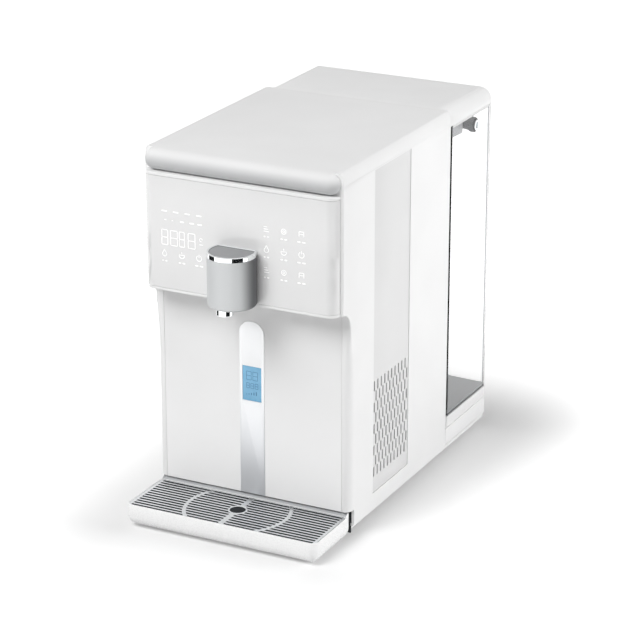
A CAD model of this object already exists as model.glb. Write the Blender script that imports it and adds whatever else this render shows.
import math
import bmesh
import bpy
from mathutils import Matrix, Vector


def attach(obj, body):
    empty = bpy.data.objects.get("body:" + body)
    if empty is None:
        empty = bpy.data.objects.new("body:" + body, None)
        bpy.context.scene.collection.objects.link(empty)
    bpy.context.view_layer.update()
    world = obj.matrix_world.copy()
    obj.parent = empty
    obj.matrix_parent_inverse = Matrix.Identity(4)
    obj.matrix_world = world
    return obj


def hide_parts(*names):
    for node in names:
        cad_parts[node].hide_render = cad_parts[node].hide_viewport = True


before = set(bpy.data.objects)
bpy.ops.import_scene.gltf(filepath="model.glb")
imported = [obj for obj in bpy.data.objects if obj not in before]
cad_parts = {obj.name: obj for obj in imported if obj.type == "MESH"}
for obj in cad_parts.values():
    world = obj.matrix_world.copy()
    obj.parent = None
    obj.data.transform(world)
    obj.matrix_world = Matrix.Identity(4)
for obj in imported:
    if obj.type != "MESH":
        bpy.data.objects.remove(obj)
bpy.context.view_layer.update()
print("frame loaded:", len(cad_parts), "nodes")

# Places are in millimetres: x from the middle, y back from the front panel, z above the table
mm = 0.001
panelBack = 135.5  # from the front panel to the middle of the footprint


def at(x, y, z):
    return Vector((x, y - panelBack, z)) * mm


# ---- camera, light and floor, in metres

camera = {
    "place": (1.1358, -2.2271, 1.0970), "azimuth": 26.856, "elevation": 20.241,
    "lens": 143.0, "sensor": 36.0, "clip": 50.0,
}

studio = {
    "skyLow": 0.4,  # light from the height of the object
    "skyHigh": 0.05,  # light from straight above
    "dimAzimuth": 45.0,  # the camera's side of the room is darker
    "dimFrom": 0.45,
    "dimLevel": 0.4,
    "aim": (0, 0, 0.2),  # what the softboxes point at
    "floorSize": 14.0,
    "floorLight": "dadada",  # what the floor gives back to the object
    "floorSeen": "e4e4e4",  # what is seen of it directly, mirrored or through clear walls
    "nearLift": 0.2,  # a glow added to what is seen, beside the object
    "farLift": 0.85,  # and away from it
    "liftReach": 0.2,  # from the edge of the footprint to the full glow
    "footprint": (0.11, 0.2085),
}

# power, place and size; the last one stands low in front of the tray
softboxes = {
    "high": (39.0, (-0.3, -2.1, 2.6), 1.5),
    "side": (52.0, (2.45, 0.85, 0.75), 1.8),
    "front": (34.0, (-0.95, -1.95, 2.3), 1.5),
    "foot": (0.3, (0.05, -0.6, 0.03), 0.5),
}

smooth = {"interpolation_type": "SMOOTHSTEP"}


def linearColor(hexCode):
    # sRGB hex to the linear values that the shaders take
    out = []
    for i in (0, 2, 4):
        c = int(hexCode[i:i + 2], 16) / 255
        out.append(c / 12.92 if c <= 0.04045 else ((c + 0.055) / 1.055) ** 2.4)
    return (*out, 1.0)


def addNode(tree, kind, settings=None, inputs=None):
    # one node, its settings, and its inputs as values or as (node, output) links
    node = tree.nodes.new(kind)
    for name, value in (settings or {}).items():
        setattr(node, name, value)
    for name, value in (inputs or {}).items():
        socket = node.inputs[name]
        if isinstance(value, tuple) and len(value) == 2 and isinstance(value[0], bpy.types.Node):
            tree.links.new(value[0].outputs[value[1]], socket)
        else:
            socket.default_value = value
    return node


def newObject(name, data):
    made = bpy.data.objects.new(name, data)
    bpy.context.scene.collection.objects.link(made)
    return made


def meshObject(name, bm):
    mesh = bpy.data.meshes.new(name)
    bm.to_mesh(mesh)
    bm.free()
    return newObject(name, mesh)


def emptyMaterial(name):
    made = bpy.data.materials.new(name)
    made.use_nodes = True
    made.node_tree.nodes.clear()
    return made, made.node_tree


def hideFrom(made, *rays):
    for ray in rays:
        setattr(made, "visible_" + ray, False)


def seenDirectly(tree):
    # 1 for camera, mirror and see-through rays, 0 for the soft light between surfaces
    path = addNode(tree, "ShaderNodeLightPath")
    either = addNode(tree, "ShaderNodeMath", {"operation": "MAXIMUM"},
        {0: (path, "Is Camera Ray"), 1: (path, "Is Glossy Ray")})
    return addNode(tree, "ShaderNodeMath", {"operation": "MAXIMUM"},
        {0: (either, 0), 1: (path, "Is Transmission Ray")})


def setWorld():
    world = bpy.data.worlds.new("pale studio")
    bpy.context.scene.world = world
    world.use_nodes = True
    tree = world.node_tree
    tree.nodes.clear()
    coords = addNode(tree, "ShaderNodeTexCoord")
    parts = addNode(tree, "ShaderNodeSeparateXYZ", None, {0: (coords, "Generated")})
    level = addNode(tree, "ShaderNodeMapRange", smooth, {
        "Value": (parts, "Z"), "To Min": studio["skyLow"], "To Max": studio["skyHigh"]})
    a = math.radians(studio["dimAzimuth"])
    facing = addNode(tree, "ShaderNodeVectorMath", {"operation": "DOT_PRODUCT"},
        {0: (coords, "Generated"), 1: (math.sin(a), -math.cos(a), 0)})
    dim = addNode(tree, "ShaderNodeMapRange", smooth, {
        "Value": (facing, "Value"), "From Min": studio["dimFrom"],
        "To Min": 1.0, "To Max": studio["dimLevel"]})
    power = addNode(tree, "ShaderNodeMath", {"operation": "MULTIPLY"},
            {0: (level, "Result"), 1: (dim, "Result")})
    light = addNode(tree, "ShaderNodeBackground", None,
            {"Color": (1, 1, 1, 1), "Strength": (power, 0)})
    seen = addNode(tree, "ShaderNodeBackground", None, {"Color": (1, 1, 1, 1), "Strength": 1.0})
    mixed = addNode(tree, "ShaderNodeMixShader", None,
            {0: (seenDirectly(tree), 0), 1: (light, 0), 2: (seen, 0)})
    addNode(tree, "ShaderNodeOutputWorld", None, {"Surface": (mixed, 0)})


def addSoftbox(name):
    power, place, size = softboxes[name]
    data = bpy.data.lights.new(name + " softbox", "AREA")
    data.shape = "SQUARE"
    data.size = size
    data.energy = power
    lamp = newObject(name + " softbox", data)
    lamp.location = place
    toObject = Vector(studio["aim"]) - Vector(place)
    lamp.rotation_euler = toObject.to_track_quat("-Z", "Y").to_euler()
    hideFrom(lamp, "camera", "glossy", "transmission")


def addCamera():
    c = camera
    data = bpy.data.cameras.new("photo camera")
    data.lens = c["lens"]
    data.sensor_width = c["sensor"]
    data.clip_end = c["clip"]
    eye = newObject("photo camera", data)
    eye.location = c["place"]
    eye.rotation_euler = (math.radians(90 - c["elevation"]), 0, math.radians(c["azimuth"]))
    bpy.context.scene.camera = eye


def addFloor():
    half = studio["floorSize"] / 2
    mesh = bpy.data.meshes.new("studio_floor")
    mesh.from_pydata([(-half, -half, 0), (half, -half, 0), (half, half, 0), (-half, half, 0)],
        [], [(0, 1, 2, 3)])
    floor = newObject("studio_floor", mesh)
    paper, tree = emptyMaterial("matt backdrop paper")
    low, top = (addNode(tree, "ShaderNodeBsdfDiffuse", None, {"Color": linearColor(studio[key])})
            for key in ("floorLight", "floorSeen"))
    # the glow grows with the distance from the footprint
    coords = addNode(tree, "ShaderNodeTexCoord")
    size = addNode(tree, "ShaderNodeVectorMath", {"operation": "ABSOLUTE"}, {0: (coords, "Object")})
    past = addNode(tree, "ShaderNodeVectorMath", {"operation": "SUBTRACT"},
        {0: (size, 0), 1: (*studio["footprint"], 0)})
    out = addNode(tree, "ShaderNodeVectorMath", {"operation": "MAXIMUM"},
        {0: (past, 0), 1: (0, 0, 0)})
    reach = addNode(tree, "ShaderNodeVectorMath", {"operation": "LENGTH"}, {0: (out, 0)})
    grow = addNode(tree, "ShaderNodeMapRange", smooth, {
        "Value": (reach, "Value"), "From Max": studio["liftReach"],
        "To Min": studio["nearLift"], "To Max": studio["farLift"]})
    lift = addNode(tree, "ShaderNodeEmission", None,
        {"Color": (1, 1, 1, 1), "Strength": (grow, "Result")})
    both = addNode(tree, "ShaderNodeAddShader", None, {0: (top, 0), 1: (lift, 0)})
    mixed = addNode(tree, "ShaderNodeMixShader", None,
        {0: (seenDirectly(tree), 0), 1: (low, 0), 2: (both, 0)})
    addNode(tree, "ShaderNodeOutputMaterial", None, {"Surface": (mixed, 0)})
    mesh.materials.append(paper)


# ---- measures of the spout, which the cards stand round

spout = {
    "y": -39.0, "radius": 24.6, "flat": 12.0, "low": 248.5, "high": 299.5, "foot": 3.2,
    "ring": 5.0, "ringWall": 2.2, "sink": 1.0, "nozzleY": -53.4, "nozzleRadius": 9.0,
    "nozzleLow": 243.0, "nozzleTop": 260.5, "nozzleWall": 1.6, "outletX": 3.2, "outletRadius": 2.2,
    "neck": (-15, 15, -28, -19, 256.5, 290.5),
}

# dark cards round the spout that only polished surfaces mirror: each one's first and last
# azimuth in degrees, and its lower and upper edge in metres
cards = {
    "left": (-95, -57, 0.085, 0.13),
    "right": (29, 81, 0.085, 0.13),
    "lowLeft": (-100, -60, 0.005, 0.05),
    "lowRight": (36, 88, 0.005, 0.05),
    "shade": (80, 125, 0.135, 0.45),
}
cardReach, cardSteps, cardColor = 0.6, 12, "202224"


def addCard(name):
    start, end, low, high = cards[name]
    bm = bmesh.new()
    rows = []
    for i in range(cardSteps + 1):
        a = math.radians(start + (end - start) * i / cardSteps)
        foot = at(0, spout["y"], 0) + cardReach * Vector((math.sin(a), -math.cos(a), 0))
        rows.append([bm.verts.new(foot + Vector((0, 0, z))) for z in (low, high)])
    for (a, b), (d, e) in zip(rows, rows[1:]):
        bm.faces.new((a, d, e, b))
    card = meshObject(name + " card", bm)
    board, tree = emptyMaterial(name + " black card")
    dull = addNode(tree, "ShaderNodeBsdfDiffuse", None, {"Color": linearColor(cardColor)})
    addNode(tree, "ShaderNodeOutputMaterial", None, {"Surface": (dull, 0)})
    card.data.materials.append(board)
    hideFrom(card, "camera", "diffuse", "shadow", "transmission")


bpy.context.scene.view_settings.view_transform = "Standard"
setWorld()
for name in softboxes:
    addSoftbox(name)
addCamera()
addFloor()
for name in cards:
    addCard(name)
print("studio set")


# ---- materials

def surface(name, look):
    # look: color, rough, and the real sizes of its pattern in millimetres
    made, tree = emptyMaterial(name)
    coords = addNode(tree, "ShaderNodeTexCoord")
    place = addNode(tree, "ShaderNodeMapping", None, {
        "Vector": (coords, "Object"), "Scale": look.get("stretch", (1, 1, 1))})
    grain = addNode(tree, "ShaderNodeTexNoise", None, {
        "Vector": (place, 0), "Scale": 1000 / look["grain"], "Detail": 2.0, "Roughness": 0.6})
    cloud = addNode(tree, "ShaderNodeTexNoise", None, {
        "Vector": (place, 0), "Scale": 1000 / look.get("cloud", 60.0), "Detail": 1.0})
    base = linearColor(look["color"])
    kept = 1 - look.get("shade", 0.02)  # the colour drifts by this much over the piece
    deep = linearColor(look["deep"]) if "deep" in look else (*[c * kept for c in base[:3]], 1)
    source, near, far = (grain, 0.3, 0.7) if "streak" in look else (cloud, 0.35, 0.65)
    tone = addNode(tree, "ShaderNodeMapRange", None,
        {"Value": (source, 0), "From Min": near, "From Max": far})
    color = addNode(tree, "ShaderNodeMix", {"data_type": "RGBA"}, {0: (tone, 0), 6: base, 7: deep})
    if "below" in look:
        # the colour turns to another one between two places along a direction
        way = addNode(tree, "ShaderNodeVectorMath", {"operation": "DOT_PRODUCT"},
            {0: (coords, "Object"), 1: look.get("along", (0, 0, 1))})
        start, end = look["between"]
        fade = addNode(tree, "ShaderNodeMapRange", smooth,
            {"Value": (way, "Value"), "From Min": start * mm, "From Max": end * mm})
        color = addNode(tree, "ShaderNodeMix", {"data_type": "RGBA"},
            {0: (fade, 0), 6: linearColor(look["below"]), 7: (color, 2)})
    drift = look.get("drift", 0.04)
    rough = addNode(tree, "ShaderNodeMapRange", None, {
        "Value": (grain, 0), "From Min": 0.3, "From Max": 0.7,
        "To Min": look["rough"] - drift, "To Max": look["rough"] + drift})
    bump = addNode(tree, "ShaderNodeBump", None, {
        "Height": (grain, 0), "Strength": look.get("bump", 0.15), "Distance": 0.02 * mm})
    settings = {"Base Color": (color, 2), "Roughness": (rough, 0), "Normal": (bump, 0)}
    for key, socket in (("metal", "Metallic"), ("coat", "Coat Weight"), ("ior", "IOR"),
            ("coatRough", "Coat Roughness"), ("specular", "Specular IOR Level"),
            ("clear", "Transmission Weight"), ("glowPower", "Emission Strength")):
        if key in look:
            settings[socket] = look[key]
    if "glow" in look:
        settings["Emission Color"] = linearColor(look["glow"])
    skin = addNode(tree, "ShaderNodeBsdfPrincipled", None, settings)
    addNode(tree, "ShaderNodeOutputMaterial", None, {"Surface": (skin, 0)})
    return made


looks = {
    # injection-moulded ABS with a fine eroded texture: white, an even soft sheen
    "mouldedAbs": {"color": "f1f1f1", "rough": 0.40, "grain": 0.7, "bump": 0.12, "ior": 1.53},
    # the same ABS from a smoother mould, on the parts set into the sides
    "satinAbs": {"color": "e2e2e2", "rough": 0.46, "grain": 0.6, "bump": 0.14, "ior": 1.53},
    # polished ABS of the tray: a closer highlight
    "glossAbs": {"color": "f9f9f9", "rough": 0.28, "grain": 1.2, "bump": 0.05, "ior": 1.53},
    # the same ABS on the rolled edge, its underside shaded with a satin grey lacquer
    "shadedAbs": {"color": "f1f1f1", "below": "c2c3c4", "between": (376.5, 390.0), "rough": 0.40,
        "grain": 0.7, "bump": 0.10, "ior": 1.53},
    # cast acrylic, painted pale grey behind: deep gloss
    "backPaintedAcrylic": {"color": "e8e8e8", "rough": 0.09, "grain": 3.0, "bump": 0.03,
        "drift": 0.02, "ior": 1.49, "coat": 0.6, "coatRough": 0.04},
    # lit film behind the acrylic: plain white light
    "litFilm": {"color": "ffffff", "rough": 0.4, "grain": 0.5, "ior": 1.5,
        "glow": "ffffff", "glowPower": 0.12},
    # aluminium with a satin silver lacquer, graded darker towards the right side of the spout
    "silverLacquer": {"color": "616264", "below": "c9cbcc", "along": (0.875, 0.485, 0),
        "between": (-79, -62), "rough": 0.45, "grain": 0.5, "bump": 0.05, "metal": 0.3},
    # chrome plate on brass: hard mirror
    "chromePlate": {"color": "eef0f1", "rough": 0.05, "grain": 4.0, "bump": 0.01,
        "metal": 1.0, "drift": 0.01},
    # grey soft-touch lacquer on the spout's top plate
    "softTouchGrey": {"color": "97989a", "rough": 0.42, "grain": 0.5, "bump": 0.1},
    # aluminium brushed along its length, milky anodised: bright with fine vertical lines
    "brushedAluminium": {"color": "eff0f1", "below": "e3e5e8", "between": (60, 165),
        "rough": 0.46, "grain": 0.35, "stretch": (1, 1, 0.02), "streak": True,
        "bump": 0.03, "metal": 0.55, "drift": 0.03},
    # stainless steel, punched and brushed across: silver bars
    "brushedSteel": {"color": "eceeef", "deep": "e4e6e8", "rough": 0.3, "grain": 0.4,
        "stretch": (0.03, 1, 1), "bump": 0.03, "metal": 0.8},
    # ABS in light grey, satin moulded: the deck behind the grille
    "greyAbs": {"color": "bcbec0", "deep": "b6b8ba", "rough": 0.4, "grain": 0.5, "bump": 0.03},
    # white ABS, satin moulded, a shade lighter towards its foot
    "panelAbs": {"color": "ebebeb", "below": "fbfbfb", "between": (40, 230), "rough": 0.4,
        "grain": 0.5, "bump": 0.03},
    # blackened walls of the slots between the bars
    "slotBlack": {"color": "333538", "rough": 0.6, "grain": 0.5, "bump": 0.1, "specular": 0.2},
    # glass-clear copolyester, moulded: no colour, polished, and its thin walls bend little light
    "clearCopolyester": {"color": "ffffff", "rough": 0.02, "grain": 30.0, "bump": 0.01,
        "drift": 0.01, "shade": 0.0, "ior": 1.2, "clear": 1.0},
    # the same copolyester where the corners are thicker: a little smoky
    "thickCopolyester": {"color": "9d9fa1", "rough": 0.02, "grain": 30.0, "bump": 0.01,
        "drift": 0.01, "shade": 0.0, "ior": 1.2, "clear": 1.0},
    # white lacquer on the tank's skirt, which hides the dock
    "skirtLacquer": {"color": "f1f1f1", "rough": 0.3, "grain": 1.0, "bump": 0.05},
    # grey acetal of the float and its lever: waxy
    "greyAcetal": {"color": "adaeb1", "rough": 0.35, "grain": 1.0, "bump": 0.08, "ior": 1.48},
    # black glass-filled nylon of the fitting: dull
    "darkNylon": {"color": "55595c", "rough": 0.48, "grain": 0.5, "bump": 0.2, "ior": 1.53},
    # dark moulded cap of the tray float
    "darkCap": {"color": "333537", "rough": 0.55, "grain": 1.0, "bump": 0.05, "specular": 0.02},
    # silicone rubber: black, soft sheen
    "siliconeRubber": {"color": "2b2c2d", "rough": 0.62, "grain": 0.4, "bump": 0.25},
    # food-grade silicone of the lid's seal: milky white
    "milkySilicone": {"color": "ecedec", "rough": 0.5, "grain": 0.5, "bump": 0.15},
    # natural polypropylene of the cartridges and water parts: slightly milky
    "naturalPolypropylene": {"color": "f1f1ec", "rough": 0.38, "grain": 0.8, "bump": 0.1},
    # glass-epoxy circuit board with green solder mask
    "solderMask": {"color": "2f6b4a", "deep": "265a3d", "rough": 0.3, "grain": 1.6, "bump": 0.2,
        "cloud": 5.0},
    # drawn steel of motor cans and screws, zinc plated
    "zincPlate": {"color": "a4a7aa", "deep": "94979b", "rough": 0.35, "grain": 0.5,
        "metal": 1.0, "cloud": 12.0},
    # folded aluminium sheet of the inner chassis
    "aluminiumSheet": {"color": "c4c9cd", "deep": "b6bbc0", "rough": 0.42, "grain": 0.6,
        "stretch": (0.05, 1, 1), "streak": True, "metal": 1.0},
    # grey polypropylene of the tank's welded floor
    "greyPolypropylene": {"color": "a9abad", "rough": 0.42, "grain": 0.8, "bump": 0.08},
    # liquid-crystal window: blue backlight behind a hard film
    "blueDisplay": {"color": "6ea8c8", "deep": "639dbf", "rough": 0.16, "cloud": 9.0,
        "grain": 0.8, "bump": 0.02, "coat": 0.5, "coatRough": 0.05, "glow": "6fb0d8",
        "glowPower": 0.19},
    # the driven segments of that window
    "displayInk": {"color": "4f83ab", "rough": 0.2, "grain": 0.8},
}
materials = {name: surface(name, look) for name, look in looks.items()}
print("materials made:", len(materials))


# ---- mesh tools

def arcPoints(x, y, r, start, end, steps):
    out = []
    for i in range(steps + 1):
        a = math.radians(start + (end - start) * i / steps)
        out.append((x + r * math.cos(a), y + r * math.sin(a)))
    return out


def roundedRect(x0, x1, y0, y1, near, far, steps=12):
    # near and far: the radii of the corners in front and behind
    return (arcPoints(x0 + near, y0 + near, near, 180, 270, steps)
            + arcPoints(x1 - near, y0 + near, near, 270, 360, steps)
            + arcPoints(x1 - far, y1 - far, far, 0, 90, steps)
            + arcPoints(x0 + far, y1 - far, far, 90, 180, steps))


def archOutline(half, low, high, r, steps=16):
    return ([(-half, low), (half, low)] + arcPoints(half - r, high - r, r, 0, 90, steps)
            + arcPoints(-half + r, high - r, r, 90, 180, steps))


def deeOutline(r, flat):
    # a circle cut flat behind its middle
    a = math.degrees(math.asin(flat / r))
    return arcPoints(0, 0, r, 180 - a, 360 + a, 48)


def quarter(r, steps=6):
    # (inset, rise) round a quarter circle, from the flat to the side
    turns = [math.pi / 2 * i / steps for i in range(steps + 1)]
    return [(r * (1 - math.sin(a)), r * (1 - math.cos(a))) for a in turns]


def ringAt(outline, axis, level, shift=(0, 0)):
    u0, v0 = shift
    if axis == "x":
        return [at(level, u + u0, v + v0) for u, v in outline]
    if axis == "y":
        return [at(u + u0, level, v + v0) for u, v in outline]
    return [at(u + u0, v + v0, level) for u, v in outline]


def newPiece(name, bm):
    bmesh.ops.remove_doubles(bm, verts=bm.verts, dist=0.002 * mm)
    bmesh.ops.recalc_face_normals(bm, faces=bm.faces)
    return meshObject(name, bm)


def addSkin(bm, rings, closed=False):
    # a skin from ring to ring, closed by a face at each end, or on itself
    rows = [[bm.verts.new(p) for p in ring] for ring in rings]
    count = len(rows[0])
    pairs = list(zip(rows, rows[1:]))
    if closed:
        pairs.append((rows[-1], rows[0]))
    for low, high in pairs:
        for i in range(count):
            j = (i + 1) % count
            bm.faces.new((low[i], low[j], high[j], high[i]))
    if not closed:
        bm.faces.new(rows[0][::-1])
        bm.faces.new(rows[-1])


def loft(name, rings, closed=False):
    bm = bmesh.new()
    addSkin(bm, rings, closed)
    return newPiece(name, bm)


def prism(name, outline, axis, low, high):
    return loft(name, [ringAt(outline, axis, low), ringAt(outline, axis, high)])


def block(name, x0, x1, y0, y1, z0, z1):
    return prism(name, [(x0, y0), (x1, y0), (x1, y1), (x0, y1)], "z", z0, z1)


def turned(name, profile, axis, centre, steps=64, closed=False):
    # profile: (radius, place along the axis); a radius of 0 makes a closed pole
    rings = []
    for r, level in profile:
        outline = arcPoints(0, 0, max(r, 0.0005), 0, 360, steps)[:-1]
        rings.append(ringAt(outline, axis, level, centre))
    return loft(name, rings, closed)


def settle(piece):
    # the evaluated shape becomes the piece's plain mesh
    graph = bpy.context.evaluated_depsgraph_get()
    mesh = bpy.data.meshes.new_from_object(piece.evaluated_get(graph), depsgraph=graph)
    piece.modifiers.clear()
    piece.data = mesh
    mesh.name = piece.name
    return piece


def combine(piece, tool, operation="DIFFERENCE"):
    change = piece.modifiers.new("shape", "BOOLEAN")
    change.solver = "EXACT"
    change.operation = operation
    change.object = tool
    settle(piece)
    bpy.data.objects.remove(tool)
    return piece


def cutAll(piece, *tools):
    for tool in tools:
        combine(piece, tool)


def soften(piece, width, segments=3, angle=40):
    # a small moulded radius on every edge sharper than angle
    change = piece.modifiers.new("edges", "BEVEL")
    change.width = width * mm
    change.segments = segments
    change.limit_method = "ANGLE"
    change.angle_limit = math.radians(angle)
    change.miter_outer = "MITER_ARC"
    settle(piece)


def shade(piece):
    # smooth shading, with a crease at every edge of 32 degrees and more
    bm = bmesh.new()
    bm.from_mesh(piece.data)
    limit = math.radians(32)
    for face in bm.faces:
        face.smooth = True
    for edge in bm.edges:
        edge.smooth = len(edge.link_faces) == 2 and edge.calc_face_angle(0) < limit
    bm.to_mesh(piece.data)
    bm.free()


def dress(piece, material, body, stands=()):
    # material, body, the record's slot, and the CAD nodes that the piece stands for
    piece.data.materials.clear()
    piece.data.materials.append(materials[material])
    shade(piece)
    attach(piece, body)
    if stands:
        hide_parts(*stands)


def paint(piece, finish, chosen):
    # a second finish on the faces whose middle and normal, in millimetres, are chosen
    piece.data.materials.append(materials[finish])
    index = len(piece.data.materials) - 1
    for face in piece.data.polygons:
        x, y, z = face.center / mm
        if chosen(x, y + panelBack, z, face.normal):
            face.material_index = index


# ---- outer housing with the rolled front edge

housing = {
    "half": 110.0, "height": 391.0, "depth": 235.0, "skirt": 15.0, "wall": 3.0,
    "topRadius": 18.0, "cornerRadius": 9.0, "cheek": 16.0, "headLow": 246.0,
    "rollLow": 368.5, "rollHalf": 107.4, "rollEnd": 11.0, "pocketTop": 368.4,
    "panelHalf": 101.0, "nicheBack": 10.4, "nicheTop": 30.6,
    "rearEdge": 0.7, "closeEdge": 1.2, "edgeBlend": 70.0,
    "ventNear": 53.7, "ventFar": 137.4, "ventLow": 31.3, "ventHigh": 376.0,
}


def sideOutline():
    h = housing
    sweep = arcPoints(-h["cheek"], h["headLow"] - h["cheek"], h["cheek"], 90, 0, 20)
    front = [(0, z) for z in range(222, 150, -8)]
    return ([(0, h["skirt"]), (h["depth"], h["skirt"]), (h["depth"], h["height"]),
            (-h["cheek"], h["height"])] + sweep + front)


def edgeRadius(y, z):
    # the upright front corner is round at the foot and close under the head
    h = housing
    if y > 0.5 * h["depth"]:
        return h["rearEdge"]
    share = min(1, max(0, (h["headLow"] - 6 - z) / h["edgeBlend"]))
    return h["closeEdge"] + (h["cornerRadius"] - h["closeEdge"]) * share * share * (3 - 2 * share)


def housingBody():
    h = housing
    body = prism("outer_housing_shell", sideOutline(), "x", -h["half"], h["half"])
    bm = bmesh.new()
    bm.from_mesh(body.data)
    weight = bm.edges.layers.float.new("bevel_weight_edge")
    for edge in bm.edges:
        a, b = edge.verts[0].co, edge.verts[1].co
        across = abs(a.x - b.x) > mm
        atFoot = abs(a.z - h["skirt"] * mm) + abs(b.z - h["skirt"] * mm) < 0.1 * mm
        if across or atFoot:
            continue
        middle = (a + b) / 2 / mm
        top = abs(middle.z - h["height"]) < 0.1
        r = h["topRadius"] if top else edgeRadius(middle.y + panelBack, middle.z)
        edge[weight] = r / h["topRadius"]
    bm.to_mesh(body.data)
    bm.free()
    change = body.modifiers.new("round", "BEVEL")
    change.width = h["topRadius"] * mm
    change.segments = 14
    change.limit_method = "WEIGHT"
    change.use_clamp_overlap = False
    return settle(body)


def rollBar():
    # a half-round bar with domed ends
    h = housing
    r = (h["height"] - h["rollLow"]) / 2
    mid = (h["height"] + h["rollLow"]) / 2
    rings = []
    ends = [math.sin(math.radians(a)) for a in range(0, 90, 6)] + [1.0]
    stations = [(h["rollHalf"] - h["rollEnd"] * (1 - s), math.sqrt(max(0, 1 - s * s)))
        for s in ends]
    stations = [(-x, k) for x, k in reversed(stations)] + stations
    y = -h["cheek"]
    for x, k in stations:
        k = max(k, 0.002)
        ring = [(y + (u - y) * r * k, mid + (v - mid) * r * k)
                for u, v in arcPoints(y, mid, 1, 90, 270, 28)]
        ring += [(y + 2, mid - r * k), (y + 2, mid + r * k)]
        rings.append(ringAt(ring, "x", x))
    return loft("roll", rings)


def makeHousing():
    h = housing
    inside, top = h["half"] - h["wall"], h["headLow"] + 1
    shell = combine(housingBody(), rollBar(), "UNION")
    cavity = prism("cavity", archOutline(inside, 0, h["height"] - h["wall"],
        h["topRadius"] - h["wall"]), "y", h["wall"], h["depth"] + 5)
    plan = roundedRect(-inside, inside, h["wall"], 400, h["cornerRadius"] - h["wall"], 1)
    combine(cavity, prism("plan", plan, "z", -5, h["height"]), "INTERSECT")
    cutAll(shell, cavity,
        block("pocket", -inside, inside, -h["cheek"] - 0.1, 2 * h["wall"], h["headLow"],
            h["pocketTop"]),
        block("bay", -inside, inside, -h["cheek"] - 2, 0.0, 0, top),
        block("opening", -h["panelHalf"], h["panelHalf"], -1, 6, 0, top))
    for side in (-1, 1):
        xs = sorted((side * (inside - 1), side * (h["half"] + 1)))
        cutAll(shell, block("vent", *xs, h["ventNear"], h["ventFar"], h["ventLow"], h["ventHigh"]))
    cutAll(shell, niche(0.2))
    dress(shell, "mouldedAbs", "purifier", ["outer_housing"])
    paint(shell, "shadedAbs", lambda x, y, z, n: y < -h["cheek"] - 0.05)


def niche(more):
    # the room that the tray's rear edge slides into, under the panel
    h = housing
    return block("niche", -h["half"] - 1, h["half"] + 1, -20, h["nicheBack"] + more, -1,
        h["nicheTop"])


makeHousing()
print("housing made")


# ---- side vents: staggered slots, cut by a Geometry Nodes tree

vents = {
    "columns": 10, "rows": 9, "pitch": 8.1, "step": 11.75, "slotLength": 11.3, "slotWidth": 2.6,
    "top": 153.6, "face": 109.4, "back": 105.0, "chamfer": 0.35,
}


def slotCutter():
    v = vents
    reach = (v["slotLength"] - v["slotWidth"]) / 2
    rings = []
    for level, grow in ((-6, 0), (-v["chamfer"], 0), (0, v["chamfer"]), (2, v["chamfer"] + 0.01)):
        r = v["slotWidth"] / 2 + grow
        outline = arcPoints(0, reach, r, 0, 180, 6) + arcPoints(0, -reach, r, 180, 360, 6)
        rings.append([Vector((level, y, z)) * mm for y, z in outline])
    return loft("slot_cutter", rings)


def startTree(name, sockets):
    # a Geometry Nodes tree whose inputs are the geometry, the given sockets and the material
    tree = bpy.data.node_groups.new(name, "GeometryNodeTree")
    face = tree.interface
    for label, kind in {"Geometry": "Geometry", **sockets, "Material": "Material"}.items():
        face.new_socket(label, in_out="INPUT", socket_type="NodeSocket" + kind)
    face.new_socket("Geometry", in_out="OUTPUT", socket_type="NodeSocketGeometry")
    return tree, addNode(tree, "NodeGroupInput")


def endTree(tree, given, result):
    solid = addNode(tree, "GeometryNodeRealizeInstances", None, {0: (result, "Mesh")})
    finish = addNode(tree, "GeometryNodeSetMaterial", None,
        {"Geometry": (solid, 0), "Material": (given, "Material")})
    addNode(tree, "NodeGroupOutput", None, {0: (finish, 0)})
    return tree


def ventTree():
    tree, given = startTree("staggered slots", {
        "Cutter": "Object", "Columns": "Int", "Rows": "Int", "Pitch": "Float", "Step": "Float",
        "First": "Vector"})
    times, modulo = {"operation": "MULTIPLY"}, {"operation": "MODULO"}
    count = addNode(tree, "ShaderNodeMath", times, {0: (given, "Columns"), 1: (given, "Rows")})
    index = addNode(tree, "GeometryNodeInputIndex")
    share = addNode(tree, "ShaderNodeMath", {"operation": "DIVIDE"},
        {0: (index, 0), 1: (given, "Columns")})
    row = addNode(tree, "ShaderNodeMath", {"operation": "FLOOR"}, {0: (share, 0)})
    column = addNode(tree, "ShaderNodeMath", modulo, {0: (index, 0), 1: (given, "Columns")})
    # every other row is shifted by half a pitch
    odd = addNode(tree, "ShaderNodeMath", modulo, {0: (row, 0), 1: 2.0})
    shifted = addNode(tree, "ShaderNodeMath", {"operation": "MULTIPLY_ADD"},
        {0: (odd, 0), 1: 0.5, 2: (column, 0)})
    along = addNode(tree, "ShaderNodeMath", times, {0: (shifted, 0), 1: (given, "Pitch")})
    down = addNode(tree, "ShaderNodeMath", times, {0: (row, 0), 1: (given, "Step")})
    under = addNode(tree, "ShaderNodeMath", times, {0: (down, 0), 1: -1.0})
    offset = addNode(tree, "ShaderNodeCombineXYZ", None, {1: (along, 0), 2: (under, 0)})
    place = addNode(tree, "ShaderNodeVectorMath", {"operation": "ADD"},
        {0: (offset, 0), 1: (given, "First")})
    points = addNode(tree, "GeometryNodePoints", None,
        {"Count": (count, 0), "Position": (place, 0)})
    cutter = addNode(tree, "GeometryNodeObjectInfo", None, {"Object": (given, "Cutter")})
    copies = addNode(tree, "GeometryNodeInstanceOnPoints", None,
        {"Points": (points, 0), "Instance": (cutter, "Geometry")})
    real = addNode(tree, "GeometryNodeRealizeInstances", None, {0: (copies, 0)})
    cut = addNode(tree, "GeometryNodeMeshBoolean", {"operation": "DIFFERENCE", "solver": "EXACT"},
        {"Mesh 1": (given, "Geometry"), "Mesh 2": (real, 0)})
    return endTree(tree, given, cut)


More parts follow.
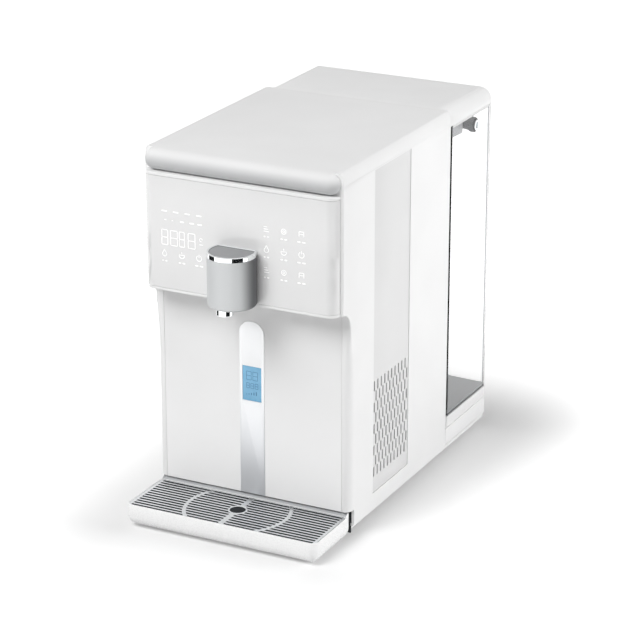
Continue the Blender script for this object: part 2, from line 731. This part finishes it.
def setInputs(change, values):
    # a modifier's inputs are set by the identifier of the socket
    for item in change.node_group.interface.items_tree:
        if item.in_out == "INPUT" and item.name in values:
            change[item.identifier] = values[item.name]


def makeVents():
    v, h = vents, housing
    cutter = slotCutter()
    tree = ventTree()
    middle = (h["ventNear"] + h["ventFar"]) / 2
    first = middle - (v["columns"] - 0.5) * v["pitch"] / 2
    gap = 0.08
    for name, side in (("side_vent_panel_right", 1), ("side_vent_panel_left", -1)):
        panel = prism(name, roundedRect(h["ventNear"] + gap, h["ventFar"] - gap,
                h["ventLow"] + gap, h["ventHigh"] - gap, 0.8, 0.8, 4),
                "x", v["back"], v["face"])
        soften(panel, 0.3, 2)
        flange = block("flange", v["back"], v["back"] + 2, h["ventNear"] - 4, h["ventFar"] + 4,
                h["ventLow"] - 4, h["height"] - h["topRadius"])
        combine(panel, flange, "UNION")
        change = panel.modifiers.new("slots", "NODES")
        change.node_group = tree
        setInputs(change, {
            "Cutter": cutter, "Columns": v["columns"], "Rows": v["rows"],
            "Pitch": v["pitch"] * mm, "Step": v["step"] * mm,
            "First": at(v["face"], first, v["top"] - v["slotLength"] / 2),
            "Material": materials["satinAbs"]})
        settle(panel)
        if side < 0:
            bm = bmesh.new()
            bm.from_mesh(panel.data)
            for vert in bm.verts:
                vert.co.x = -vert.co.x
            bmesh.ops.reverse_faces(bm, faces=bm.faces)
            bm.to_mesh(panel.data)
            bm.free()
        node = "side_vent_right" if side > 0 else "side_vent_left"
        dress(panel, "satinAbs", "purifier", [node])
    bpy.data.objects.remove(cutter)


makeVents()
print("vents made")


# ---- control head: frame, wrap-around panel and its marks

head = {
    "half": 106.93, "front": -27.0, "back": 3.0, "radius": 11.0, "low": 246.0, "high": 368.35,
    "lip": 3.0, "seam": 0.35, "lens": 2.4, "lensBack": -16.3, "edge": 0.8, "wall": 5.0,
}


def headPlan(inset):
    d = head
    return roundedRect(-d["half"] + inset, d["half"] - inset, d["front"] + inset, d["back"],
        d["radius"] - inset, 0.5, 16)


def headRing(inset, level):
    return ringAt(headPlan(inset), "z", level)


def makeHead():
    d = head
    low, high, half, deep = d["low"], d["high"], d["half"], d["lens"]
    inner0, inner1 = low + d["lip"], high - d["lip"]
    rounding = quarter(d["edge"], 4)
    rings = [headRing(inset, low + rise) for inset, rise in rounding]
    rings += [headRing(0, inner0 - 0.15), headRing(0.15, inner0), headRing(deep, inner0)]
    rings += [headRing(deep, inner1), headRing(0.15, inner1), headRing(0, inner1 + 0.15)]
    rings += [headRing(inset, high - rise) for inset, rise in reversed(rounding)]
    body = loft("control_head_frame", rings)
    wall = d["wall"]
    core = roundedRect(-half + wall, half - wall, d["front"] + wall, 40, d["radius"] - wall, 1)
    combine(body, prism("core", core, "z", inner0, inner1))
    dress(body, "mouldedAbs", "purifier", ["head_frame"])

    kept = 34  # the points of the two near corners
    back = d["lensBack"]
    around = [(-half, back)] + headPlan(0)[:kept] + [(half, back)]
    inside = [(-half + deep, back)] + headPlan(deep)[:kept] + [(half - deep, back)]
    panel = prism("fascia_panel", around + inside[::-1], "z", inner0 + d["seam"],
        inner1 - d["seam"])
    soften(panel, 0.45, 3, 50)
    dress(panel, "backPaintedAcrylic", "purifier", ["fascia_lens"])


makeHead()


marks = {
    "line": 0.85,
    "dashes": [(-82, 330), (-69, 330), (-56, 330), (-43, 330)],
    "dots": [(-81, 321, 3.0), (-73, 321, 2.0), (-62, 321, 5.0), (-51, 321, 6.0), (-42, 321, 6.0)],
    "digits": [(-86, -78), (-76, -67), (-66, -59), (-56, -47)],
    "digitLow": 295.0, "digitHigh": 310.5,
    "keysLeft": [(-82.6, 286), (-63, 286), (-43.4, 286)],
    "keysRight": [(x, z) for z in (328, 307, 286) for x in (32, 51, 70.3)],
}


def bar(x0, z0, x1, z1, width):
    # a straight stroke with cut corners
    d = Vector((x1 - x0, z1 - z0))
    n = Vector((-d.y, d.x)).normalized() * width / 2
    t = d.normalized() * width / 2
    return [(x0, z0), (x0 + t.x - n.x, z0 + t.y - n.y),
            (x1 - t.x - n.x, z1 - t.y - n.y), (x1, z1),
            (x1 - t.x + n.x, z1 - t.y + n.y), (x0 + t.x + n.x, z0 + t.y + n.y)]


def arcStroke(x, z, r, start, end, width):
    return (arcPoints(x, z, r + width / 2, start, end, 20)
            + arcPoints(x, z, r - width / 2, end, start, 20))


def segments(x0, x1, low, high, width):
    # the seven strokes of a digit, all lit
    mid = (low + high) / 2
    return [bar(*ends, width) for ends in (
        (x0, high, x1, high), (x0, mid, x1, mid), (x0, low, x1, low), (x0, low, x0, mid),
        (x1, low, x1, mid), (x0, mid, x0, high), (x1, mid, x1, high))]


def markOutlines():
    m = marks
    w = m["line"]
    out = []
    for x, z in m["dashes"]:
        out.append(bar(x - 3.4, z, x + 3.4, z, 1.5))
    for x, z, length in m["dots"]:
        out.append(bar(x - length / 2, z, x + length / 2, z, 1.7 if length > 4 else 1.1))
    for x0, x1 in m["digits"]:
        out += segments(x0 + 0.6, x1 - 0.6, m["digitLow"], m["digitHigh"], w * 1.1)
    out.append(arcStroke(-41, 305.5, 1.6, 0, 300, w))
    out.append(bar(-43, 300.5, -38.6, 300.5, w))
    for i, (x, z) in enumerate(m["keysLeft"] + m["keysRight"]):
        out += keyIcon(i, x, z, w)
        span = 3.2 + 0.8 * (i % 3)
        out.append(bar(x - span, z - 8.0, x - 0.6, z - 8.0, 1.5))
        out.append(bar(x + 0.4, z - 8.0, x + span, z - 8.0, 1.5))
    return out


def keyIcon(i, x, z, w):
    # plain signs: drop, cup, ring, steps, sun and the like
    kind = i % 6
    if kind == 0:
        return [arcStroke(x, z - 0.8, 2.4, 130, 410, w), bar(x - 1.6, z + 0.8, x, z + 4.2, w),
                bar(x + 1.6, z + 0.8, x, z + 4.2, w)]
    if kind == 1:
        return [arcStroke(x, z, 3.0, 180, 360, w), bar(x - 3.4, z + 0.4, x + 3.4, z + 0.4, w),
                bar(x, z + 1.6, x, z + 3.8, w)]
    if kind == 2:
        return [arcStroke(x, z, 2.9, 120, 420, w), bar(x, z + 0.6, x, z + 4.2, w)]
    if kind == 3:
        return [bar(x - 3, z - 2.6 + 2.4 * k, x + 3 - k, z - 2.6 + 2.4 * k, w) for k in range(3)]
    if kind == 4:
        return [arcStroke(x, z, 2.6, 0, 359, w), arcStroke(x, z, 1.0, 0, 359, w * 0.8)]
    return [bar(x - 2.6, z - 2.6, x - 2.6, z + 2.6, w), bar(x + 2.6, z - 2.6, x + 2.6, z + 2.6, w),
            bar(x - 2.6, z + 2.6, x + 2.6, z + 2.6, w), bar(x - 2.6, z, x + 2.6, z, w)]


def makeMarks(name, outlines, finish, face, proud):
    # printed marks: thin raised skins on a face
    bm = bmesh.new()
    for outline in outlines:
        addSkin(bm, [ringAt(outline, "y", face - proud), ringAt(outline, "y", face + 0.3)])
    bmesh.ops.recalc_face_normals(bm, faces=bm.faces)
    dress(meshObject(name, bm), finish, "purifier")


makeMarks("display_marks", markOutlines(), "litFilm", head["front"], 0.06)
print("control head made")


# ---- spout

def spoutRing(inset, level, flatInset=None):
    s = spout
    behind = min(inset, 0.2) if flatInset is None else flatInset
    return ringAt(deeOutline(s["radius"] - inset, s["flat"] - behind), "z", level, (0, s["y"]))


def makeSpout():
    s = spout
    rings = [spoutRing(inset, s["low"] + rise) for inset, rise in quarter(s["foot"])]
    rings += [spoutRing(0, s["high"] - 0.2), spoutRing(0.2, s["high"])]
    column = loft("spout_column_shell", rings)
    combine(column, block("neck", *s["neck"]), "UNION")
    r, wall, centre = s["nozzleRadius"], s["nozzleWall"], (0, s["nozzleY"])
    bore = [(r + 0.1, s["low"] - 5), (r + 0.1, s["nozzleTop"])]
    combine(column, turned("bore", bore, "z", centre))
    dress(column, "silverLacquer", "purifier", ["spout_column"])

    z0, z1 = s["high"], s["high"] + s["ring"]
    outer = [(0.25, z0), (0, z0 + 0.25), (0, z0 + 0.3), (0, z1 - 0.55), (0, z1 - 0.5),
            (0.15, z1 - 0.15), (0.5, z1)]
    inner = [(s["ringWall"] - 0.4, z1), (s["ringWall"], z1 - 0.4), (s["ringWall"], z0)]
    ring = loft("spout_chrome_ring", [spoutRing(i, z, i) for i, z in outer + inner], closed=True)
    dress(ring, "chromePlate", "purifier", ["spout_ring"])

    inset = s["ringWall"] + 0.15
    top = z1 - s["sink"]
    plate = loft("spout_top_plate", [spoutRing(i, z, i) for i, z in (
        (inset, z0), (inset, top - 0.4), (inset + 0.12, top - 0.12), (inset + 0.4, top))])
    dress(plate, "softTouchGrey", "purifier", ["spout_cap"])

    low, high = s["nozzleLow"], s["nozzleTop"]
    nozzle = turned("nozzle_chrome_ring", [
        (r - wall, high), (r, high), (r, low + 0.85), (r, low + 0.8), (r - 0.25, low + 0.25),
        (r - 0.8, low), (r - wall + 0.3, low), (r - wall, low + 0.3)], "z", centre, closed=True)
    dress(nozzle, "chromePlate", "purifier", ["nozzle_ring"])
    core = turned("nozzle_core_insert", [
        (0, high), (r - wall - 0.1, high), (r - wall - 0.1, low + 1.4), (r - wall - 0.5, low + 1.0),
        (0, low + 1.0)], "z", centre)
    hole = [(s["outletRadius"], low - 1), (s["outletRadius"], high + 1)]
    for x in (-s["outletX"], s["outletX"]):
        combine(core, turned("outlet", hole, "z", (x, s["nozzleY"]), 32))
    dress(core, "naturalPolypropylene", "purifier", ["nozzle_core"])


makeSpout()
print("spout made")


# ---- metal strip and display window on the front panel

strip = {
    "half": 14.0, "low": 30.7, "high": 218.0, "arch": 13.0, "face": -0.4, "back": 1.0,
    "sink": 0.7, "windowHalf": 10.8, "windowLow": 132.5, "windowHigh": 170.0,
}


def makeStrip():
    t = strip
    outline = archOutline(t["half"], t["low"], t["high"], t["arch"], 20)
    plate = prism("front_trim_strip", outline, "y", t["face"], t["back"])
    combine(plate, block("window", -t["windowHalf"], t["windowHalf"], -3, 4, t["windowLow"],
            t["windowHigh"]))
    soften(plate, 0.18, 2, 50)
    dress(plate, "brushedAluminium", "purifier", ["trim_strip"])
    half, z0, z1 = t["windowHalf"] - 0.15, t["windowLow"] + 0.15, t["windowHigh"] - 0.15
    pane = prism("display_window", [(-half, z0), (half, z0), (half, z1), (-half, z1)], "y",
        t["face"] + t["sink"], 3.0)
    soften(pane, 0.15, 2, 50)
    dress(pane, "blueDisplay", "purifier", ["lcd_window"])


def windowOutlines():
    # two rows of digits and a row of rising bars
    out = []
    for x0, x1, low, high in ((-6.5, -1.0, 155, 164), (0.8, 6.3, 155, 164),
        (-6.5, -3.2, 146, 151.5), (-1.6, 1.7, 146, 151.5), (3.3, 6.6, 146, 151.5)):
        out += segments(x0, x1, low, high, 0.55)
    for k in range(5):
        out.append(bar(-6.5 + 2.8 * k, 138.5, -6.5 + 2.8 * k, 139.5 + 0.9 * k, 1.3))
    return out


makeStrip()
makeMarks("display_segments", windowOutlines(), "displayInk",
    strip["face"] + strip["sink"], 0.04)
print("strip made")


# ---- drip tray, grille and float, and the panel that the tray reaches under

tray = {
    "half": 109.0, "front": -73.0, "back": 9.0, "deck": 7.6, "rise": 3.3, "low": 3.0, "top": 26.3,
    "radius": 8.0, "rearRadius": 12.0, "curve": 11.0, "wall": 3.5, "floor": 7.0, "rim": 1.7,
    "seat": 23.4, "deckFront": 0.5, "ramp": 2.5,
    "tongueX": 60.0, "tongueHalf": 15.0, "tongueLow": 16.5, "tongueHigh": 19.5, "tongueEnd": 14.0,
}

# the wall behind the niche, the shelf over it and the play round each tongue
closure = {
    "half": 106.0, "low": 4.2, "wall": 1.8, "over": 1.5, "shelfHalf": 100.6, "shelfFront": 0.6,
    "play": 0.5,
}


def cadCopy(node, name):
    bm = bmesh.new()
    bm.from_mesh(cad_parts[node].data)
    return newPiece(name, bm)


def makePanel():
    # the panel stops over the tray, and a dark wall closes the niche behind it
    c, t = closure, tray
    near, top = housing["nicheBack"], housing["nicheTop"]
    far = near + c["wall"]
    panel = combine(cadCopy("front_panel", "front_panel_shell"), niche(2.5))
    wall = block("wall", -c["half"], c["half"], near, far, c["low"], top + c["over"])
    shelf = block("shelf", -c["shelfHalf"], c["shelfHalf"], c["shelfFront"], far, top + 0.01,
        top + c["over"])
    combine(wall, shelf, "UNION")
    reach = t["tongueHalf"] + c["play"]
    for x in (-t["tongueX"], t["tongueX"]):
        cutAll(wall, block("tongue slot", x - reach, x + reach, 5, near + 5,
            t["tongueLow"] - c["play"], t["tongueHigh"] + c["play"]))
    combine(panel, wall, "UNION")
    dress(panel, "panelAbs", "purifier", ["front_panel"])
    paint(panel, "slotBlack", lambda x, y, z, n: z < top + 0.1 and y > c["shelfFront"])
    pan = combine(cadCopy("base_pan", "base_pan_shell"), niche(0.2))
    dress(pan, "mouldedAbs", "purifier", ["base_pan"])


def trayRing(inset, level, deck=0.0):
    # deck: the depth of the strip behind the grille, for the rings inside it
    t = tray
    r, far = (max(t[key] - inset, 0.6) for key in ("radius", "rearRadius"))
    if deck == t["deck"]:
        far = r
    return ringAt(roundedRect(-t["half"] + inset, t["half"] - inset, t["front"] + inset,
            t["back"] - inset - deck, r, far, 14), "z", level)


def makeTray():
    t = tray
    d, top, seat, wall, floor = (t[key] for key in ("deck", "top", "seat", "wall", "floor"))
    rings = [trayRing(inset, t["low"] + rise) for inset, rise in quarter(t["curve"], 12)]
    rings += [trayRing(*ring) for ring in (
        (0, top - 0.5), (0.15, top - 0.15), (0.5, top), (0.9, top, 0.6 * d),
        (t["rim"] - 0.3, top, d), (t["rim"], top - 0.3, d), (t["rim"], seat, d),
        (wall - 0.2, seat, d), (wall, seat - 0.2, d), (wall, floor + 6, d),
        (wall + 0.4, floor + 3.2, d), (wall + 1.5, floor + 1.5, d), (wall + 3.2, floor + 0.4, d),
        (wall + 5, floor, d))]
    dish = loft("drip_tray_dish", rings)
    for vert in dish.data.vertices:
        # the deck behind the grille rises to the foot of the panel
        past = vert.co.y / mm + panelBack - t["deckFront"]
        if vert.co.z > (top - 0.6) * mm and past > 0:
            vert.co.z += t["rise"] * mm * min(1, past / t["ramp"])
    for x in (-t["tongueX"], t["tongueX"]):
        combine(dish, block("tongue", x - t["tongueHalf"], x + t["tongueHalf"], t["back"] - 2,
            t["tongueEnd"], t["tongueLow"], t["tongueHigh"]), "UNION")
    # the float slides on a post
    combine(dish, turned("post", [(3.0, floor - 1), (3.0, 17.4), (2.6, 17.8), (0, 17.8)], "z",
        (0, grille["ringY"]), 32), "UNION")
    dress(dish, "glossAbs", "drip_tray", ["drip_tray"])
    paint(dish, "greyAbs", lambda x, y, z, n: n.z > 0.3 and z > top - 0.05
        and y > t["back"] - d - t["rim"] and abs(x) < t["half"] - 2.5)


grille = {
    "ringY": -33.0, "low": 23.6, "high": 26.1, "inset": 2.0, "frame": 3.5, "back": 1.9,
    "front": 0.8, "slots": 13, "bar": 2.4, "ringRadius": 54.5, "ringWidth": 4.0, "spine": 6.0,
    "hole": 8.1, "boss": 2.0, "corner": 3.5,
}


def grilleTree():
    tree, given = startTree("grille bars", {
        "Bar": "Object", "Bars": "Int", "Pitch": "Float", "Opening": "Object",
        "Middle": "Object", "Hole": "Object"})
    rod, window, middle, hole = (
        addNode(tree, "GeometryNodeObjectInfo", None, {"Object": (given, name)})
        for name in ("Bar", "Opening", "Middle", "Hole"))
    step = addNode(tree, "ShaderNodeCombineXYZ", None, {1: (given, "Pitch")})
    line = addNode(tree, "GeometryNodeMeshLine", None,
        {"Count": (given, "Bars"), "Offset": (step, 0)})
    copies = addNode(tree, "GeometryNodeInstanceOnPoints", None,
        {"Points": (line, 0), "Instance": (rod, "Geometry")})
    bars = addNode(tree, "GeometryNodeRealizeInstances", None, {0: (copies, 0)})
    minus = {"operation": "DIFFERENCE", "solver": "EXACT"}
    ledge = addNode(tree, "GeometryNodeMeshBoolean", minus,
        {"Mesh 1": (given, "Geometry"), "Mesh 2": (window, "Geometry")})
    joined = addNode(tree, "GeometryNodeMeshBoolean", {"operation": "UNION", "solver": "EXACT"})
    for node, output in ((ledge, "Mesh"), (bars, 0), (middle, "Geometry")):
        tree.links.new(node.outputs[output], joined.inputs["Mesh 2"])
    done = addNode(tree, "GeometryNodeMeshBoolean", minus,
        {"Mesh 1": (joined, "Mesh"), "Mesh 2": (hole, "Geometry")})
    return endTree(tree, given, done)


def makeGrille():
    t, g = tray, grille
    low, high, side = g["low"], g["high"], t["half"] - g["inset"]
    front, rear = t["front"] + g["inset"], t["back"] - t["deck"] - g["inset"]
    centre = (0, g["ringY"])

    def ring(inset, level, near=0.0, far=0.0):
        r = max(g["corner"] - inset, 0.6)
        return ringAt(roundedRect(-side + inset, side - inset, front + inset + near,
            rear - inset - far, r, r, 10), "z", level)

    plate = loft("tray_grille_plate", [
        ring(0, low), ring(0, high - 0.35), ring(0.1, high - 0.1), ring(0.35, high)])
    f = g["frame"]
    window = loft("window", [ring(inset, level, g["front"] - f, g["back"] - f) for inset, level in (
        (f, low - 1), (f, high - 0.3), (f - 0.3, high), (f - 0.3, high + 1))])
    y0, y1 = front + g["front"], rear - g["back"]
    pitch = (y1 - y0 + g["bar"]) / g["slots"]
    half = g["bar"] / 2
    # each bar is a rounded rod, tapered a little downwards
    section = ([(-half * 0.8, low), (half * 0.8, low)]
        + arcPoints(half - 0.5, high - 0.6, 0.5, 0, 90, 3)
        + arcPoints(-half + 0.5, high - 0.6, 0.5, 90, 180, 3))
    first = y0 + pitch - half
    rod = prism("rod", [(first + u, v) for u, v in section], "x", -side + 1.5, side - 1.5)
    r0, r1 = g["ringRadius"] - g["ringWidth"] / 2, g["ringRadius"] + g["ringWidth"] / 2
    circle = turned("circle", [
        (r0, low + 0.01), (r1, low + 0.01), (r1, high - 0.4), (r1 - 0.5, high - 0.02),
        (r0 + 0.5, high - 0.02), (r0, high - 0.4)], "z", centre, 96, closed=True)
    spine = g["spine"] / 2
    web = prism("web", [
        (-spine, low + 0.02), (spine, low + 0.02), (spine, high - 0.5), (spine - 0.5, high - 0.04),
        (-spine + 0.5, high - 0.04), (-spine, high - 0.5)], "y", front + 0.4, rear - 0.4)
    rb = g["hole"] + g["boss"]
    boss = turned("boss", [(0, low + 0.03), (rb, low + 0.03), (rb, high - 0.5),
        (rb - 0.5, high - 0.06), (0, high - 0.06)], "z", centre, 48)
    combine(circle, block("clip", -side + 1, side - 1, front + 0.4, rear - 0.4, low - 1, high + 1),
        "INTERSECT")
    combine(circle, web, "UNION")
    combine(circle, boss, "UNION")
    hole = turned("hole", [(g["hole"], low - 1), (g["hole"], high - 0.5),
        (g["hole"] + 0.6, high + 0.1), (g["hole"] + 0.6, high + 1)], "z", centre, 48)
    change = plate.modifiers.new("bars", "NODES")
    change.node_group = grilleTree()
    setInputs(change, {"Bar": rod, "Bars": g["slots"] - 1, "Pitch": pitch * mm, "Opening": window,
            "Middle": circle, "Hole": hole, "Material": materials["brushedSteel"]})
    settle(plate)
    for tool in (rod, window, circle, hole):
        bpy.data.objects.remove(tool)
    dress(plate, "brushedSteel", "tray_grille", ["tray_grille"])
    paint(plate, "slotBlack", lambda x, y, z, n: abs(n.z) < 0.5 and z < high - 0.2)

    disc = turned("tray_float_cap", [
        (0, 7.3), (11.6, 7.3), (12, 7.7), (12, 11.9), (11.6, 12.3), (5.1, 12.3), (5.1, high - 1.5),
        (7.4, high - 1.5), (7.8, high - 1.1), (7.8, high - 0.5), (7.6, high - 0.15), (7.1, high),
        (0, high)], "z", centre, 64)
    combine(disc, turned("bore", [(3.1, 6), (3.1, 21.4)], "z", centre, 32))
    dress(disc, "darkCap", "tray_float", ["tray_float"])


makePanel()
makeTray()
makeGrille()
print("tray made")


# ---- rear tank, lid, base, inlet and float

tank = {
    "half": 109.4, "front": 238.0, "back": 344.0, "wall": 2.5, "low": 35.3, "floorLow": 48.0,
    "floorHigh": 52.0, "top": 373.7, "radius": 5.0, "nearRadius": 3.0, "y": 291.0,
    "inletHole": 6.1, "valveHole": 8.0,
}


def tankRing(inset, level):
    t = tank
    return ringAt(roundedRect(-t["half"] + inset, t["half"] - inset, t["front"] + inset,
        t["back"] - inset, max(t["nearRadius"] - inset, 0.8), t["radius"] - inset, 10), "z", level)


def makeTank():
    t = tank
    w = t["wall"]
    low, top, split = t["low"], t["top"], t["floorLow"]
    shell = loft("clear_tank", [tankRing(inset, level) for inset, level in (
        (w - 0.4, low), (0.4, low), (0.1, low + 0.1), (0, low + 0.4), (0, split),
        (0, top - 0.4), (0.1, top - 0.1), (0.4, top), (w - 0.3, top), (w, top - 0.3),
        (w, split), (w, low + 0.4))], closed=True)
    combine(shell, turned("hole", [(t["inletHole"], 100), (t["inletHole"], 115)], "x",
        (inlet["y"], inlet["z"]), 48))
    dress(shell, "clearCopolyester", "tank", ["tank"])
    corner = t["half"] - t["radius"]
    # the corners look thicker, and a skirt hides the dock
    paint(shell, "thickCopolyester", lambda x, y, z, n: z > split and abs(x) > corner + 0.1
        and (y > t["back"] - t["radius"] + 0.1 or y < t["front"] + 2.9))
    paint(shell, "skirtLacquer", lambda x, y, z, n: z < split)
    gap = w + 0.05
    middle = (t["floorLow"] + t["floorHigh"]) / 2
    plate = loft("tank_floor_plate", [tankRing(inset, level) for inset, level in (
        (gap, t["floorLow"]), (gap, middle), (gap, t["floorHigh"] - 0.3),
        (gap + 0.3, t["floorHigh"]))])
    combine(plate, turned("hole", [(t["valveHole"], 40), (t["valveHole"], 60)], "z", (0, t["y"])))
    dress(plate, "greyPolypropylene", "tank", ["tank_floor"])
    paint(plate, "darkNylon", lambda x, y, z, n: z < middle and abs(n.z) < 0.5)


lid = {
    "half": 110.0, "front": 235.3, "back": 344.0, "low": 374.0, "high": 391.0, "topRadius": 18.0,
    "backRadius": 6.0, "corner": 5.0, "lip": 5.0, "lipWall": 2.0, "gap": 0.8, "wall": 3.0,
}


def makeLid():
    d = lid
    top = prism("tank_lid_cover", archOutline(d["half"], d["low"] - 10, d["high"], d["topRadius"]),
            "y", d["front"], d["back"])
    r = d["backRadius"]
    side = ([(d["front"], d["low"]), (d["back"], d["low"])]
        + arcPoints(d["back"] - r, d["high"] - r, r, 0, 90, 10) + [(d["front"], d["high"])])
    combine(top, prism("profile", side, "x", -120, 120), "INTERSECT")
    plan = roundedRect(-d["half"], d["half"], d["front"], d["back"], 0.6, d["corner"], 10)
    combine(top, prism("plan", plan, "z", d["low"] - 1, d["high"] + 1), "INTERSECT")
    t = tank["wall"] + d["gap"]
    half = tank["half"] - t
    y0, y1 = tank["front"] + t, tank["back"] - t
    lip = prism("lip", roundedRect(-half, half, y0, y1, 0.8, 2.5, 6), "z", d["low"] - d["lip"],
            d["low"] + 3)
    combine(top, lip, "UNION")
    hollow = prism("hollow", archOutline(half - d["lipWall"], d["low"] - 9, d["high"] - d["wall"],
            14), "y", y0 + d["lipWall"], y1 - d["lipWall"])
    combine(top, hollow)
    soften(top, 0.35, 2, 50)
    dress(top, "mouldedAbs", "tank_lid", ["tank_lid"])


base = {
    "half": 110.0, "front": 235.0, "back": 344.0, "low": 15.0, "high": 35.0, "radius": 5.0,
    "foot": 2.5, "wall": 3.0, "slotHalf": 6.0, "slotTop": 26.2, "gland": (70, 23.5),
    "glandHole": 7.3, "dockHole": 4.2,
}


def makeBase():
    b = base
    half, front, back, high, w = (b[key] for key in ("half", "front", "back", "high", "wall"))

    def ring(inset, level):
        return ringAt(roundedRect(-half + inset, half - inset, front, back - inset, 0.9,
            max(b["radius"] - inset, 0.8), 10), "z", level)

    rings = [ring(inset, b["low"] + rise) for inset, rise in quarter(b["foot"], 5)]
    rings += [ring(0, high - 0.6), ring(0.2, high - 0.2), ring(0.6, high)]
    body = loft("rear_base_shell", rings)
    cutAll(body, block("hollow", -half + w, half - w, front + w, back - w, 0, high - w),
        block("slot", -b["slotHalf"], b["slotHalf"], front - 5, front + 4, 0, b["slotTop"]),
        turned("gland hole", [(b["glandHole"], back - 6), (b["glandHole"], back + 6)], "y",
            b["gland"], 32),
        turned("dock hole", [(b["dockHole"], high - 5), (b["dockHole"], high + 5)], "z",
            (0, tank["y"]), 32))
    dress(body, "mouldedAbs", "purifier", ["rear_base"])
    gland = turned("cord_gland_bush", [
        (3.5, 336), (8, 336), (8, 341), (7, 341), (7, 343.2), (6.2, 344), (4.3, 344), (3.5, 343.2)],
        "y", b["gland"], 48, closed=True)
    dress(gland, "siliconeRubber", "purifier", ["cord_gland"])


inlet = {"y": 303.6, "z": 358.4, "nutFrom": 100.5, "nutTo": 106.9, "nutBore": 6.0, "knurls": 20}


def makeInlet():
    n = inlet
    centre = (n["y"], n["z"])
    near, far = n["nutFrom"], n["nutTo"]
    steps = n["knurls"] * 6
    rings = []
    for level, r, depth in ((near, 7.0, 0.2), (near + 0.7, 8.0, 1.0), (far - 0.7, 8.0, 1.0),
            (far, 7.2, 0.2)):
        outline = []
        for i in range(steps):
            a = 2 * math.pi * i / steps
            k = r - depth * (0.5 - 0.5 * math.cos(n["knurls"] * a)) ** 2
            outline.append((k * math.cos(a), k * math.sin(a)))
        rings.append(ringAt(outline, "x", level, centre))
    bore = arcPoints(0, 0, n["nutBore"], 0, 360, steps)[:-1]
    hole = [ringAt(bore, "x", level, centre) for level in (far, near)]
    nut = loft("inlet_knurled_nut", rings + hole, closed=True)
    dress(nut, "darkNylon", "tank", ["inlet_nut"])

    body = turned("inlet_valve_body", [
        (0, 86), (2.7, 86), (3, 86.3), (3, 92), (6.4, 92), (6.8, 92.4), (6.8, 100.2),
        (6.5, 100.5), (5.9, 100.5), (5.9, 106.6), (5.6, 106.9), (4.28, 106.9), (4.28, 97.5),
        (0, 97.5)], "x", centre)
    dress(body, "darkNylon", "tank", ["inlet_body"])

    collet = turned("inlet_collet_ring", [
        (3.2, 99), (4.2, 99), (4.2, 108.4), (5.7, 108.4), (6, 108.7), (6, 109.4), (5.8, 109.8),
        (5.3, 110), (4, 110), (3.4, 109.7), (3.2, 109)], "x", centre, closed=True)
    dress(collet, "chromePlate", "inlet_collet", ["inlet_collet"])



# the float: a lever on the inlet's pin and a block at its end
levelFloat = {
    "leverFrom": 86.6, "leverTo": 91.6, "armEnd": 291.9, "armHalf": 4.5, "pinHole": 3.08,
    "block": (82, 98, 349.73, 362.73), "blockFrom": 246, "blockTo": 292,
}


def makeFloat():
    f = levelFloat
    y, z = inlet["y"], inlet["z"]
    near, far, half = f["leverFrom"], f["leverTo"], f["armHalf"]
    hub = [(0, near), (5.7, near), (6, near + 0.3), (6, far - 0.3), (5.7, far), (0, far)]
    lever = turned("float_arm", hub, "x", (y, z), 48)
    arm = roundedRect(f["armEnd"], y, z - half, z + half, 0.8, 0.8, 4)
    combine(lever, prism("arm", arm, "x", near, far), "UNION")
    combine(lever, turned("hole", [(f["pinHole"], 80), (f["pinHole"], 95)], "x", (y, z), 40))
    soften(lever, 0.25, 2, 50)
    dress(lever, "greyAcetal", "level_float", ["float_lever"])

    lift = prism("float_body", roundedRect(*f["block"], 2.0, 2.0, 6), "y", f["blockFrom"],
        f["blockTo"])
    soften(lift, 1.2, 4, 50)
    dress(lift, "greyAcetal", "level_float", ["float_block"])


makeTank()
makeLid()
makeBase()
makeInlet()
makeFloat()
print("tank made")


# ---- CAD pieces that keep their shape get their finish

carried = {
    "mouldedAbs": ["rear_wall"],
    "siliconeRubber": ["foot_pads", "tray_pads", "dock_seal", "pump_mounts", "fan_frame"],
    "milkySilicone": ["tank_lid_seal"],
    "naturalPolypropylene": ["tank_valve_body", "tank_valve_nut", "dock_socket", "sediment_filter",
        "membrane_filter", "carbon_filter", "pure_tank", "water_tubes"],
    "darkNylon": ["tank_valve_poppet", "lcd_module", "feed_valve", "fan_rotor"],
    "zincPlate": ["tank_valve_spring", "booster_pump", "dispense_pump", "case_screws",
        "base_screws"],
    "solderMask": ["display_board", "power_board", "control_board"],
    "aluminiumSheet": ["chassis", "heater"],
    "greyAcetal": ["filter_block"],
}
for finish, names in carried.items():
    for name in names:
        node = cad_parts[name]
        if not node.material_slots:
            node.data.materials.append(materials[finish])
        for place in node.material_slots:
            place.material = materials[finish]
print("carried pieces finished")
